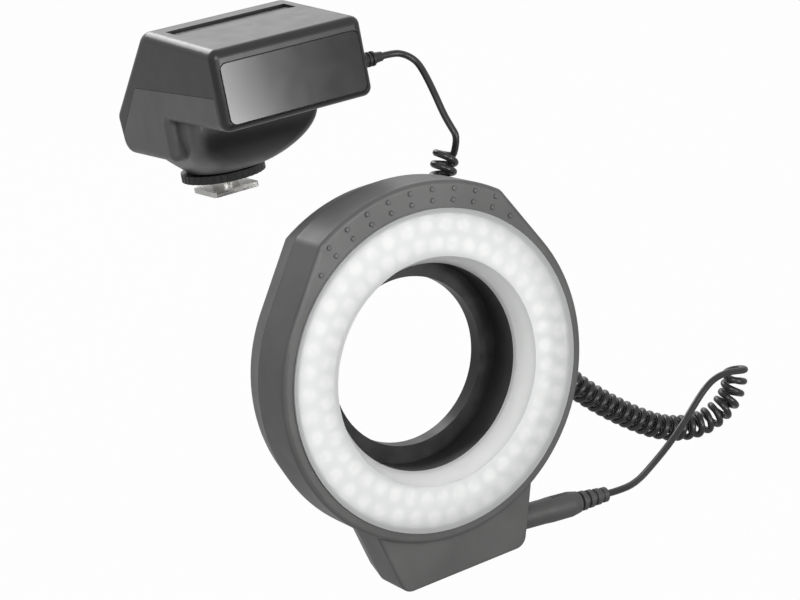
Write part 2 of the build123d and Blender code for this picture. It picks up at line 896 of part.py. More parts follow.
# Upper shell, which runs down the sloping back as the control panel
with BuildPart() as upper_shell:
    add(box.part)
    add(across(far_up, upper_region()), mode=Mode.INTERSECT)
    add(across(far_up, bezel_region()), mode=Mode.SUBTRACT)
    with BuildSketch(Plane.XY.offset(seam_front_z - box_post_sink)):
        with Locations(*box_screws[:2]):
            Circle(box_post_radius)
    extrude(amount=box_top - shell_wall / 2 - seam_front_z + box_post_sink)
    with BuildSketch(Plane.XY.offset(seam_low[1] + box_back_post_rise)):
        with Locations(*box_screws[2:]):
            Circle(box_post_radius)
    extrude(amount=box_back_post_length)
    with BuildSketch(Plane.XY.offset(seam_front_z - box_post_sink)):
        with Locations(*box_screws[:2]):
            Circle(screw_radius + screw_hole_gap)
    extrude(amount=screw_bite + overrun, mode=Mode.SUBTRACT)
    with BuildSketch(Plane.XY.offset(seam_low[1] + box_back_post_rise)):
        with Locations(*box_screws[2:]):
            Circle(screw_radius + screw_hole_gap)
    extrude(amount=screw_bite + overrun, mode=Mode.SUBTRACT)
    with BuildSketch(panel_plane(control_board_depth)):
        with GridLocations(control_post_x, control_post_y, 2, 2):
            Circle(board_post)
    extrude(amount=control_board_depth - panel_wall / 2)
    with BuildSketch(panel_plane(panel_wall + overrun)):
        with Locations((slider_x + slider_travel / 2, slider_y)):
            Rectangle(
                slider_stem_length + slider_travel + slip_gap * 2,
                slider_stem_width + slip_gap * 2,
            )
        with Locations((minus_x, button_y), (plus_x, button_y), (mode_x, mode_y)):
            Circle(button_radius + button_gap)
        with Locations(*lamp_pipe_places):
            Circle(lamp_pipe_radius + running_gap)
    extrude(amount=panel_wall + overrun * 2, mode=Mode.SUBTRACT)
    with BuildSketch(Plane.XY.offset(box_top + top_rise * groove_rise_share - groove_depth)):
        with Locations((0, back_top.Y - groove_back_gap - groove_width / 2)):
            Rectangle((box_half_width - groove_side) * 2, groove_width)
    extrude(amount=groove_depth + overrun + top_rise, mode=Mode.SUBTRACT)
    with BuildSketch(Plane.YZ.offset(box_half_width - shell_wall - slip_gap)):
        add(offset(door_outline(door_hinge_z - door_barrel), amount=door_gap, kind=Kind.INTERSECTION))
    extrude(amount=shell_wall + overrun, mode=Mode.SUBTRACT)
    with BuildSketch(gland_plane.offset(-shell_wall - overrun)):
        Circle(gland_neck_radius)
    extrude(amount=shell_wall + overrun * 2, mode=Mode.SUBTRACT)
keep(upper_shell, "upper_shell")


def pillar_section(section, inset=0):
    """Cross-section of the shoe pillar: its step in, reach before and behind the shoe, and corner."""
    step, before, behind, corner = section
    half = box_half_width - step
    with BuildSketch() as face:
        with Locations((0, shoe_y + (behind - before) / 2)):
            RectangleRounded(half * 2 - inset * 2, before + behind - inset * 2, corner - inset)
    return face.sketch


# Lower shell with the battery block and the pillar down to the shoe
with BuildPart() as lower_shell:
    for drop, *section in pillar_sections:
        with BuildSketch(Plane.XY.offset(head_bottom - drop)):
            add(pillar_section(section))
    loft()
    for drop, *section in pillar_sections[:-2]:
        with BuildSketch(Plane.XY.offset(head_bottom - drop)):
            add(pillar_section(section, pillar_wall))
    loft(mode=Mode.SUBTRACT)
    add(across(box_half_width - shell_wall, side_profile(shell_wall)), mode=Mode.SUBTRACT)
    add(box.part)
    add(across(far_up, upper_region(seam_gap)), mode=Mode.SUBTRACT)
    add(across(far_up, bezel_region()), mode=Mode.SUBTRACT)
    with BuildSketch(Plane.XY.offset(head_bottom + shell_wall / 2)):
        with Locations(*box_screws[:2]):
            Circle(box_post_radius)
    extrude(amount=seam_front_z - box_post_sink - head_bottom - shell_wall / 2)
    with BuildSketch(Plane.XY.offset(block_bottom + shell_wall / 2)):
        with Locations(*box_screws[2:]):
            Circle(box_post_radius)
    extrude(amount=seam_low[1] + box_back_post_rise - block_bottom - shell_wall / 2)
    with BuildSketch(Plane.XY.offset(block_bottom - overrun)):
        with Locations(*box_screws):
            Circle(screw_radius + screw_hole_gap)
    extrude(amount=seam_front_z - block_bottom + overrun, mode=Mode.SUBTRACT)
    with BuildSketch(Plane.XY.offset(head_bottom - overrun)):
        with Locations(*box_screws[:2]):
            Circle(screw_head_radius + slip_gap)
    extrude(amount=overrun + screw_head_height, mode=Mode.SUBTRACT)
    with BuildSketch(Plane.XY.offset(block_bottom - overrun)):
        with Locations(*box_screws[2:]):
            Circle(screw_head_radius + slip_gap)
    extrude(amount=overrun + screw_head_height, mode=Mode.SUBTRACT)
    with BuildSketch(Plane.XY.offset(head_bottom + shell_wall / 2)):
        with Locations((0, main_board_y)):
            with GridLocations(main_post_x, main_post_y, 2, 2):
                Circle(board_post)
    extrude(amount=main_board_rise - shell_wall / 2)
    with BuildSketch(Plane.XY.offset(pillar_bottom)):
        with Locations((0, shoe_y)):
            Circle(stem_radius)
    extrude(amount=stem_seat, mode=Mode.SUBTRACT)
    with BuildSketch(Plane.YZ.offset(box_half_width - shell_wall - slip_gap)):
        add(offset(door_outline(door_hinge_z - door_barrel), amount=door_gap, kind=Kind.INTERSECTION))
    extrude(amount=shell_wall + overrun, mode=Mode.SUBTRACT)
    with BuildSketch(Plane.XZ.offset(-door_back_y - door_pin_length)):
        with Locations((door_hinge_x, door_hinge_z)):
            Circle(door_pin_radius + running_gap)
    extrude(amount=door_barrel_length + door_pin_length * 2, mode=Mode.SUBTRACT)
    with BuildSketch(gland_plane.offset(-shell_wall - overrun)):
        Circle(gland_neck_radius)
    extrude(amount=shell_wall + overrun * 2, mode=Mode.SUBTRACT)
keep(lower_shell, "lower_shell")

# Front bezel with the pocket for the window
front_up = Vector(0, front_lean, head_height).normalized()
front_plane = Plane(origin=(0, box_front, head_bottom), x_dir=(1, 0, 0), z_dir=(0, -front_up.Z, front_up.Y))
window_height = head_height / front_up.Z - window_top - window_bottom
window_width = (box_half_width - window_side) * 2

with BuildPart() as front_bezel:
    add(box.part)
    add(across(far_up, bezel_region()), mode=Mode.INTERSECT)
    with BuildSketch(front_plane.offset(-window_thickness)):
        with Locations((0, window_bottom + window_height / 2)):
            RectangleRounded(window_width, window_height, window_corner)
    extrude(amount=window_thickness + overrun, mode=Mode.SUBTRACT)
keep(front_bezel, "front_bezel")

# Glossy window set in the bezel
with BuildPart() as front_window:
    with BuildSketch(front_plane.offset(-window_thickness)):
        with Locations((0, window_bottom + window_height / 2)):
            RectangleRounded(
                window_width - seam_gap * 2,
                window_height - seam_gap * 2,
                window_corner - seam_gap,
            )
    extrude(amount=window_thickness)
    fillet(faces().sort_by(Axis.Y)[0].edges(), radius=window_edge)
keep(front_window, "front_window")

# Cord gland in the right wall, between the shells
with BuildPart() as cord_gland:
    with BuildSketch(gland_plane.offset(-shell_wall - gland_flange)):
        Circle(gland_collar_radius)
    extrude(amount=gland_flange)
    with BuildSketch(gland_plane.offset(-shell_wall)):
        Circle(gland_neck_radius)
    extrude(amount=shell_wall)
    with BuildSketch(gland_plane):
        Circle(gland_collar_radius)
    extrude(amount=gland_collar_length)
    fillet(edges().filter_by(GeomType.CIRCLE).sort_by(Axis.X)[-1], radius=gland_round)
    with BuildSketch(gland_plane.offset(gland_collar_length)):
        Circle(gland_neck_radius)
    with BuildSketch(gland_plane.offset(gland_length)):
        Circle(gland_end_radius)
    loft()
    for rib in range(gland_ribs):
        with BuildSketch(gland_plane.offset(gland_collar_length + gland_rib_pitch * (rib + 1))):
            Circle(gland_neck_radius + gland_rib_stand)
        extrude(amount=gland_rib_width)
keep(cord_gland, "cord_gland")

# Four screws of the control box, from below
with BuildPart() as box_screw_set:
    for x, y in box_screws[:2]:
        reach = seam_front_z - box_post_sink - head_bottom - screw_head_height + screw_bite
        add(cross_screw(Plane(origin=(x, y, head_bottom), x_dir=(1, 0, 0), z_dir=(0, 0, -1)), reach))
    for x, y in box_screws[2:]:
        reach = seam_low[1] + box_back_post_rise - block_bottom - screw_head_height + screw_bite
        add(cross_screw(Plane(origin=(x, y, block_bottom), x_dir=(1, 0, 0), z_dir=(0, 0, -1)), reach))
keep(box_screw_set, "box_screws")

# Control board under the sloping panel
with BuildPart() as control_board:
    with BuildSketch(panel_plane(control_board_depth + control_board_thickness)):
        Rectangle(control_board_width, control_board_height)
    extrude(amount=control_board_thickness)
keep(control_board, "control_board")

# Switches on the control board
with BuildPart() as switches:
    with BuildSketch(panel_plane(control_board_depth)):
        with Locations((minus_x, button_y), (plus_x, button_y), (mode_x, mode_y)):
            Rectangle(switch_size, switch_size)
    extrude(amount=switch_height)
    with BuildSketch(panel_plane(control_board_depth)):
        with Locations((slider_x + slider_travel / 2, slider_y)):
            Rectangle(power_switch_length, power_switch_width)
    extrude(amount=power_switch_height)
keep(switches, "switches")

# Power slider
slider_face = panel_wall + running_gap
with BuildPart() as power_slider:
    with BuildSketch(panel_plane(slider_face + slider_flange_thickness)):
        with Locations((slider_x, slider_y)):
            Rectangle(slider_flange_length, slider_flange_width)
    extrude(amount=slider_flange_thickness)
    with BuildSketch(panel_plane(slider_face)):
        with Locations((slider_x, slider_y)):
            Rectangle(slider_stem_length, slider_stem_width)
    extrude(amount=slider_face + running_gap)
    with BuildSketch(panel_plane(-running_gap)):
        with Locations((slider_x, slider_y)):
            Rectangle(slider_cap_length, slider_cap_width)
    extrude(amount=slider_cap_height)
    with BuildSketch(panel_plane(-running_gap - slider_cap_height + mark_depth)):
        with Locations((slider_x, slider_y)):
            with GridLocations(slider_ridge + slider_ridge, 0, slider_ridges, 1):
                Rectangle(slider_ridge, slider_cap_width + overrun)
    extrude(amount=mark_depth + overrun, mode=Mode.SUBTRACT)
keep(power_slider, "power_slider")


def round_button(x, y):
    """Round push button with its flange under the panel."""
    with BuildPart() as button:
        with BuildSketch(panel_plane(panel_wall + running_gap + button_flange_thickness)):
            with Locations((x, y)):
                Circle(button_flange_radius)
        extrude(amount=button_flange_thickness)
        with BuildSketch(panel_plane(panel_wall + running_gap)):
            with Locations((x, y)):
                Circle(button_radius)
        extrude(amount=panel_wall + running_gap + button_stand)
        fillet(faces().sort_by(Axis.Z)[-1].edges(), radius=button_round)
    return button.part


# Minus, plus and mode buttons
with BuildPart() as minus_button:
    add(round_button(minus_x, button_y))
    with BuildSketch(panel_plane(mark_depth - button_stand)):
        with Locations((minus_x, button_y)):
            Rectangle(mark_length, mark_width)
    extrude(amount=mark_depth + overrun, mode=Mode.SUBTRACT)
keep(minus_button, "minus_button")

with BuildPart() as plus_button:
    add(round_button(plus_x, button_y))
    with BuildSketch(panel_plane(mark_depth - button_stand)):
        with Locations((plus_x, button_y)):
            Rectangle(mark_length, mark_width)
            Rectangle(mark_width, mark_length)
    extrude(amount=mark_depth + overrun, mode=Mode.SUBTRACT)
keep(plus_button, "plus_button")

with BuildPart() as mode_button:
    add(round_button(mode_x, mode_y))
    with BuildSketch(panel_plane(mark_depth - button_stand)):
        with Locations((mode_x, mode_y)):
            Circle(mark_length / 2)
            Circle(mark_length / 2 - mark_width, mode=Mode.SUBTRACT)
    extrude(amount=mark_depth + overrun, mode=Mode.SUBTRACT)
keep(mode_button, "mode_button")

# Light pipes of the level display
with BuildPart() as light_pipes:
    with BuildSketch(panel_plane(control_board_depth)):
        with Locations(*lamp_pipe_places):
            Circle(lamp_pipe_radius)
    extrude(amount=control_board_depth + lamp_pipe_stand)
keep(light_pipes, "light_pipes")

# Main board in the head, with its capacitor and chips
main_board_z = head_bottom + main_board_rise
with BuildPart() as main_board:
    with BuildSketch(Plane.XY.offset(main_board_z)):
        with Locations((0, main_board_y)):
            Rectangle(main_board_width, main_board_length)
    extrude(amount=main_board_thickness)
    with BuildSketch(Plane.XY.offset(main_board_z + main_board_thickness)):
        with Locations((-main_board_width / 4, main_board_y)):
            Circle(capacitor_radius)
    extrude(amount=capacitor_height)
    with BuildSketch(Plane.XY.offset(main_board_z + main_board_thickness)):
        with Locations((chip_x, main_board_y)):
            Rectangle(chip_size, chip_size)
    extrude(amount=chip_height)
keep(main_board, "main_board")

# Four cells lying across the box, two over two
cell_length = (box_half_width - cell_room) * 2
low_y = block_front + cell_low_reach
low_z = block_bottom + cell_low_rise
cell_places = [
    (low_y, low_z),
    (low_y + cell_pitch, low_z),
    (low_y - cell_row_step, low_z + cell_row_rise),
    (low_y - cell_row_step + cell_pitch, low_z + cell_row_rise),
]
with BuildPart() as battery_cells:
    with BuildSketch(Plane.YZ.offset(-cell_length / 2)):
        with Locations(*cell_places):
            Circle(cell_radius)
    extrude(amount=cell_length)
    fillet(edges().filter_by(GeomType.CIRCLE), radius=cell_round)
    with BuildSketch(Plane.YZ.offset(cell_length / 2)):
        with Locations(*cell_places[::2]):
            Circle(cell_button_radius)
    extrude(amount=cell_button_height)
    with BuildSketch(Plane.YZ.offset(-cell_length / 2)):
        with Locations(*cell_places[1::2]):
            Circle(cell_button_radius)
    extrude(amount=-cell_button_height)
keep(battery_cells, "battery_cells")

# Tray that carries the cells, two webs joined by bars
with BuildPart() as battery_tray:
    slope_front = (low_y + tray_slope_reach, low_z + cell_row_rise + tray_top)
    tray_end = block_back - tray_end_inset
    tray_left = tray_left_inset - box_half_width
    tray_right = box_half_width - tray_right_inset
    tray_floor = block_bottom + shell_wall
    step_floor = head_bottom + shell_wall
    low_front = block_front + shell_wall + tray_gap
    high_front = low_y - cell_row_step - cell_radius - tray_nose
    for x in (tray_left, tray_right):
        with BuildSketch(Plane.YZ.offset(x)):
            add(outline_of(
                (low_front, tray_floor),
                (tray_end, tray_floor),
                (tray_end, head_bottom - tray_end_drop),
                slope_front,
                (high_front, slope_front[1]),
                (high_front, step_floor + tray_gap),
                (low_front, step_floor + tray_gap),
            ))
            with Locations(*cell_places):
                Circle(cell_radius + tray_gap, mode=Mode.SUBTRACT)
        extrude(amount=tray_thickness)
    with BuildSketch(Plane.YZ.offset(tray_left)):
        with Locations((tray_end - tray_bar / 2, tray_floor + tray_bar / 2)):
            Rectangle(tray_bar, tray_bar)
        with Locations((high_front + tray_bar / 2, step_floor + tray_gap + tray_low_bar / 2)):
            Rectangle(tray_bar, tray_low_bar)
    extrude(amount=tray_right - tray_left)
keep(battery_tray, "battery_tray")

# Leaf contacts on the left wall
with BuildPart() as battery_contacts:
    wall_x = -box_half_width + shell_wall
    for y, z in cell_places:
        with BuildSketch(Plane(origin=(0, y - contact_width / 2, 0), x_dir=(1, 0, 0), z_dir=(0, -1, 0))):
            add(outline_of(
                (wall_x, z - contact_reach),
                (wall_x + contact_thickness, z - contact_reach),
                (wall_x + contact_spring, z - contact_flat),
                (wall_x + contact_spring, z + contact_flat),
                (wall_x + contact_spring - contact_thickness, z + contact_flat),
                (wall_x + contact_spring - contact_thickness, z - contact_flat + contact_thickness),
                (wall_x, z - contact_reach + contact_thickness * 2),
            ))
        extrude(amount=-contact_width)
keep(battery_contacts, "battery_contacts")

# Battery door in the right wall, hinged along its lower edge
with BuildPart() as battery_door:
    with BuildSketch(Plane.YZ.offset(box_half_width - door_thickness)):
        add(door_outline(door_hinge_z))
    extrude(amount=door_thickness)
    door_back_plane = Plane(
        origin=(door_hinge_x, door_back_y, door_hinge_z), x_dir=(1, 0, 0), z_dir=(0, -1, 0)
    )
    with BuildSketch(door_back_plane):
        Circle(door_barrel)
    extrude(amount=door_barrel_length)
    with BuildSketch(door_back_plane.offset(-door_pin_length)):
        Circle(door_pin_radius)
    extrude(amount=door_barrel_length + door_pin_length * 2)
    for grip in range(door_grips):
        with BuildSketch(Plane.YZ.offset(box_half_width)):
            with Locations((
                block_front + (door_slope_inset - door_front_reach) / 2,
                door_hinge_z + door_height - door_grip_pitch * (grip + 1),
            )):
                Rectangle(door_grip_width, door_grip_height)
        extrude(amount=-door_grip_depth, mode=Mode.SUBTRACT)
keep(battery_door, "battery_door")

# Contact plates on the inside of the door
with BuildPart() as door_contacts:
    with BuildSketch(Plane.YZ.offset(box_half_width - door_thickness)):
        with Locations(*cell_places):
            Rectangle(contact_width, contact_width)
    extrude(amount=-contact_thickness)
keep(door_contacts, "door_contacts")

# Shoe stem, from its seat in the pillar down to the foot
with BuildPart() as shoe_stem:
    with BuildSketch(Plane.XY.offset(foot_top)):
        with Locations((0, shoe_y)):
            Circle(stem_radius)
    extrude(amount=pillar_bottom + stem_seat - foot_top)
    with BuildSketch(Plane.XY.offset(foot_top)):
        with Locations((0, shoe_y)):
            Circle(pin_flange_radius + slip_gap)
    extrude(amount=pin_bore_depth, mode=Mode.SUBTRACT)
keep(shoe_stem, "shoe_stem")

# Shoe foot with its hole for the contact pin
with BuildPart() as shoe_foot:
    with BuildSketch(Plane.XY.offset(foot_top - foot_thickness)):
        with Locations((0, shoe_y)):
            Rectangle(foot_width, foot_length)
    extrude(amount=foot_thickness)
    chamfer(edges().filter_by(Axis.Z), length=foot_chamfer)
    with BuildSketch(Plane.XY.offset(foot_top - foot_thickness - overrun)):
        with Locations((0, shoe_y)):
            Circle(pin_radius + running_gap)
    extrude(amount=foot_thickness + overrun * 2, mode=Mode.SUBTRACT)
keep(shoe_foot, "shoe_foot")

# Sprung contact pin
with BuildPart() as contact_pin:
    with BuildSketch(Plane.XY.offset(foot_top - foot_thickness - pin_stand)):
        with Locations((0, shoe_y)):
            Circle(pin_radius)
    extrude(amount=foot_thickness + pin_stand + running_gap)
    fillet(faces().sort_by(Axis.Z)[0].edges(), radius=pin_round)
    with BuildSketch(Plane.XY.offset(foot_top + running_gap)):
        with Locations((0, shoe_y)):
            Circle(pin_flange_radius)
    extrude(amount=pin_flange_thickness)
keep(contact_pin, "contact_pin")

# Knurled lock wheel with a recess for the washer
with BuildPart() as lock_wheel:
    with BuildSketch(Plane.XY.offset(wheel_bottom)):
        with Locations((0, shoe_y)):
            Circle(wheel_radius)
            with PolarLocations(wheel_radius + knurl_radius / 2, wheel_knurls):
                Circle(knurl_radius, mode=Mode.SUBTRACT)
            Circle(stem_radius + running_gap, mode=Mode.SUBTRACT)
    extrude(amount=wheel_thickness)
    with BuildSketch(Plane.XY.offset(wheel_bottom)):
        with Locations((0, shoe_y)):
            Circle(wheel_recess_radius)
    extrude(amount=wheel_recess_depth, mode=Mode.SUBTRACT)
keep(lock_wheel, "lock_wheel")

# Clamp washer that the wheel drives down
with BuildPart() as clamp_washer:
    with BuildSketch(Plane.XY.offset(washer_bottom)):
        with Locations((0, shoe_y)):
            Circle(washer_radius)
            Circle(stem_radius + running_gap, mode=Mode.SUBTRACT)
    extrude(amount=washer_thickness)
keep(clamp_washer, "clamp_washer")


# Plug at the base of the ring
def plug_spot(distance):
    """Plane across the plug, this far out of the wall."""
    return jack_plane.offset(distance)


with BuildPart() as plug_body:
    for along, share in plug_shares:
        with BuildSketch(plug_spot(plug_stand_off + plug_length * along)):
            Circle(plug_radius * share)
    loft(ruled=True)
    for slot in range(grip_slots):
        with BuildSketch(plug_spot(plug_stand_off + plug_length * grip_share + grip_slot_pitch * slot)):
            Circle(plug_radius + overrun)
            Rectangle(grip_slot_length, plug_radius * 2 - grip_slot_depth * 2, mode=Mode.SUBTRACT)
            Rectangle(plug_radius * 2 + overrun * 4, plug_radius, mode=Mode.SUBTRACT)
            with Locations((plug_radius, 0), (-plug_radius, 0)):
                Rectangle((plug_radius - grip_slot_length / 2) * 2, plug_radius * 3, mode=Mode.SUBTRACT)
        extrude(amount=grip_slot_width, mode=Mode.SUBTRACT)
keep(plug_body, "plug_body")

# Ribbed boot behind the plug
boot_start = plug_stand_off + plug_length
with BuildPart() as plug_boot:
    with BuildSketch(plug_spot(boot_start)):
        Circle(boot_root)
    extrude(amount=boot_length)
    for rib in range(boot_ribs):
        along = rib / (boot_ribs - 1)
        rib_radius = boot_start_radius + (boot_end_radius - boot_start_radius) * along
        rib_pitch = boot_length / boot_ribs
        with BuildSketch(plug_spot(boot_start + rib_pitch * rib + rib_pitch * (1 - boot_rib_share))):
            Circle(rib_radius)
        extrude(amount=rib_pitch * boot_rib_share)
    boot_rims = edges().filter_by(GeomType.CIRCLE)
    fillet(boot_rims.filter_by(lambda e: e.radius > boot_root + boot_rib_round), boot_rib_round)
keep(plug_boot, "plug_boot")

# Metal barrel of the plug, inside the jack
with BuildPart() as plug_barrel:
    with BuildSketch(plug_spot(plug_stand_off - barrel_length)):
        Circle(barrel_radius)
        Circle(barrel_bore, mode=Mode.SUBTRACT)
    extrude(amount=barrel_length)
keep(plug_barrel, "plug_barrel")


def bends(route):
    """Radius of each bend of a route, from its runs and the angle between them."""
    points = [Vector(*p) for p in route]
    runs = [b - a for a, b in zip(points, points[1:])]
    radii = []
    for before, after in zip(runs, runs[1:]):
        turn = radians(before.get_angle(after))
        radii.append(bend_share * min(before.length, after.length) / tan(turn / 2))
    return radii


def curve_points(route):
    """Points on the smooth line that a route of control points draws."""
    points = [Vector(*p) for p in route]
    joints = [points[0]] + [(a + b) * 0.5 for a, b in zip(points[1:-2], points[2:-1])] + [points[-1]]
    line = []
    for start, middle, end in zip(joints, points[1:], joints[1:]):
        for step in range(curve_steps):
            t = step / curve_steps
            line.append(start * (1 - t) ** 2 + middle * (2 * t * (1 - t)) + end * t**2)
    return line + [joints[-1]]


def meeting(start, start_way, end, end_way):
    """Point and direction where two arcs from both ends meet smoothly."""
    gap = end - start
    both = start_way + end_way
    bend = 2 * (1 - start_way.dot(end_way))
    along = gap.dot(both)
    reach = (sqrt(along**2 + bend * gap.dot(gap)) - along) / bend
    first = start + start_way * reach
    second = end - end_way * reach
    return (first + second) * 0.5, (second - first).normalized()


# Free stretch from the gland to the curls
upper_radii = bends(upper_route)
print("upper cord bends", [round(r, 1) for r in upper_radii])
with BuildPart() as cord_upper:
    with BuildLine() as upper_path:
        FilletPolyline(*upper_route, radius=upper_radii)
    with BuildSketch(Plane(origin=upper_path.line @ 0, z_dir=upper_path.line % 0)):
        Circle(cord_radius)
    sweep()
keep(cord_upper, "cord_upper")

# Free stretch from the curls to the plug
plug_end = jack_mouth + jack_axis * (boot_start + boot_length)
lower_points = lower_route + [tuple(plug_end + jack_axis * plug_run), tuple(plug_end)]
lower_radii = bends(lower_points)
print("lower cord bends", [round(r, 1) for r in lower_radii])
with BuildPart() as cord_lower:
    with BuildLine() as lower_path:
        FilletPolyline(*lower_points, radius=lower_radii)
    with BuildSketch(Plane(origin=lower_path.line @ 0, z_dir=lower_path.line % 0)):
        Circle(cord_radius)
    sweep()
keep(cord_lower, "cord_lower")

# Curls wound around their line, the pitch opening towards the lower end
curl_line = curve_points(curl_route)
curl_length = [0.0]
for a, b in zip(curl_line, curl_line[1:]):
    curl_length.append(curl_length[-1] + (b - a).length)
curl_frames = []
curl_side = Vector(*first_curl_side)
for index, point in enumerate(curl_line):
    before = curl_line[max(index - 1, 0)]
    after = curl_line[min(index + 1, len(curl_line) - 1)]
    curl_way = (after - before).normalized()
    curl_side = (curl_side - curl_way * curl_side.dot(curl_way)).normalized()
    curl_frames.append((point, curl_side, curl_way.cross(curl_side)))


def turns_to(length):
    """Number of curls from the start to this length of the line."""
    opened = max(length - curl_length[-1] + open_stretch, 0)
    growth = (open_pitch - closed_pitch) / open_stretch
    return (length - opened) / closed_pitch + log(1 + growth * opened / closed_pitch) / growth


_, end_side, end_cross = curl_frames[-1]
last_side = Vector(*last_curl_side)
last_phase = atan2(-last_side.dot(end_cross), last_side.dot(end_side)) / (2 * pi)
whole_turns = round(turns_to(curl_length[-1]) - last_phase) + last_phase
turn_scale = whole_turns / turns_to(curl_length[-1])
curl_turns = [turns_to(length) * turn_scale for length in curl_length]


def curl_at(turn):
    """Point of the wire's centre after this many curls."""
    turn = min(max(turn, 0), whole_turns)
    index = min(bisect(curl_turns, turn), len(curl_turns) - 1)
    share = (turn - curl_turns[index - 1]) / (curl_turns[index] - curl_turns[index - 1])
    low, high = curl_frames[index - 1], curl_frames[index]
    centre, side, cross = [a * (1 - share) + b * share for a, b in zip(low, high)]
    angle = 2 * pi * turn
    return centre + side * (curl_radius * cos(angle)) - cross * (curl_radius * sin(angle))


def curl_way_at(turn):
    """Direction of the wire after this many curls."""
    return (curl_at(turn + curl_probe) - curl_at(turn - curl_probe)).normalized()


half_turns = ceil(whole_turns * 2)
stations = [whole_turns * k / half_turns for k in range(half_turns + 1)]
upper_way = (Vector(*upper_route[-1]) - Vector(*upper_route[-2])).normalized()
lower_way = (Vector(*lower_route[1]) - Vector(*lower_route[0])).normalized()
upper_end = Vector(*upper_route[-1])
lower_end = Vector(*lower_route[0])
wire_stops = [(upper_end + upper_way * tube_end, upper_way)]
wire_stops += [(curl_at(turn), curl_way_at(turn)) for turn in stations]
wire_stops.append((lower_end - lower_way * tube_end, lower_way))

wire_edges = [Edge.make_line(upper_end, wire_stops[0][0])]
for (start, start_way), (end, end_way) in zip(wire_stops, wire_stops[1:]):
    joint, joint_way = meeting(start, start_way, end, end_way)
    wire_edges.append(Edge.make_tangent_arc(start, start_way, joint))
    wire_edges.append(Edge.make_tangent_arc(joint, joint_way, end))
wire_edges.append(Edge.make_line(wire_stops[-1][0], lower_end))

with BuildPart() as cord_coil:
    with BuildLine() as coil_path:
        add(Wire(wire_edges))
    with BuildSketch(Plane(origin=upper_end, z_dir=upper_way)):
        Circle(cord_radius)
    sweep(path=coil_path.wires()[0])
keep(cord_coil, "cord_coil")

# Least gap between the curls, and the wire's length, measured on points
wire_points = [edge @ (step / gap_steps) for edge in wire_edges for step in range(gap_steps)]
wire_length = sum(edge.length for edge in wire_edges)
near_steps = ceil(curl_radius * 3 / (wire_length / len(wire_points)))
least = min(
    (wire_points[i] - wire_points[j]).length
    for i in range(0, len(wire_points), 2)
    for j in range(i + near_steps, min(i + near_steps * gap_reach, len(wire_points)))
)
arc_radii = [edge.radius for edge in wire_edges if edge.geom_type == GeomType.CIRCLE]
print("curls", round(whole_turns, 2), "wire length", round(wire_length, 1))
print("least gap between curls", round(least - 2 * cord_radius, 2), "tightest arc", round(min(arc_radii), 2))
section = pi * cord_radius**2
for name, part, length in (
    ("upper", cord_upper, upper_path.wires()[0].length),
    ("coil", cord_coil, wire_length),
    ("lower", cord_lower, lower_path.wires()[0].length),
):
    share = part.part.volume / section / length
    print(name, "cord length", round(length, 1), "volume share", round(share, 4))
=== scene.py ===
from bisect import bisect
from math import atan2, cos, log, pi, radians, sin

import bmesh
import bpy
from mathutils import Matrix, Quaternion, Vector


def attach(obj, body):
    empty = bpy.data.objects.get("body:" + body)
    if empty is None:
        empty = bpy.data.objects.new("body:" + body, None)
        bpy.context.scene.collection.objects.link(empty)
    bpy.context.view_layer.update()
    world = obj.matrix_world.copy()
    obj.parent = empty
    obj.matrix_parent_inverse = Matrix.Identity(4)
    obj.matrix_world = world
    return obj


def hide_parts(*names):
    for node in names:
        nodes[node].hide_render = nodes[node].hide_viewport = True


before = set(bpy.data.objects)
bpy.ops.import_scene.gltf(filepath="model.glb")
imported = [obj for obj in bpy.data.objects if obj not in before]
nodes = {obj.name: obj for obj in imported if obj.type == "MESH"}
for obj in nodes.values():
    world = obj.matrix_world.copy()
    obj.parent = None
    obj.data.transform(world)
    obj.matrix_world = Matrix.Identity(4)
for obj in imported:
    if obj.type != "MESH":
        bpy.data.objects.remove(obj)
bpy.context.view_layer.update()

scene = bpy.context.scene
mm = 0.001

# Viewpoint, at the photograph's angle
camera_place = Vector((-0.3290, -0.5839, 0.2130))
camera_sight = Vector((0.4742, 0.8362, -0.2755))
camera_roll = radians(-9.35)
camera_lens = 94.5
camera_sensor = 36.0
nearest_seen = 10 * mm


def place_camera():
    """Viewpoint on the left of the lamp ring, in front of it and a little above."""
    data = bpy.data.cameras.new("photo_camera")
    data.sensor_width = camera_sensor
    data.lens = camera_lens
    data.clip_start = nearest_seen
    camera = bpy.data.objects.new("photo_camera", data)
    scene.collection.objects.link(camera)
    level = camera_sight.to_track_quat("-Z", "Y")
    turn = level @ Quaternion((0, 0, 1), camera_roll)
    camera.matrix_world = Matrix.Translation(camera_place) @ turn.to_matrix().to_4x4()
    scene.camera = camera


place_camera()

# Curly cord: the free stretch from the gland, the line the curls wind around, and the stretch to the plug
cord_radius = 1.25 * mm
cord_facets = 5
cord_steps = 4
line_steps = 24
curl_radius = 3.75 * mm
points_per_curl = 16
closed_pitch = 3.7 * mm
open_pitch = 4.3 * mm
open_stretch = 55 * mm
first_curl_side = Vector((0.82, 0.2, -0.57))
last_curl_side = Vector((0, -1, 0))
cord_exit = (0.0390, 0.0500, 0.0920)

upper_route = [
    cord_exit,
    (0.04434, 0.0500, 0.0920),
    (0.04756, 0.04918, 0.09095),
    (0.05002, 0.04767, 0.08901),
    (0.05135, 0.04569, 0.08648),
    (0.0515, 0.0419, 0.0814),
    (0.0515, 0.0382, 0.0754),
    (0.0516, 0.0352, 0.0695),
    (0.0522, 0.0323, 0.0646),
    (0.0529, 0.0306, 0.0614),
]

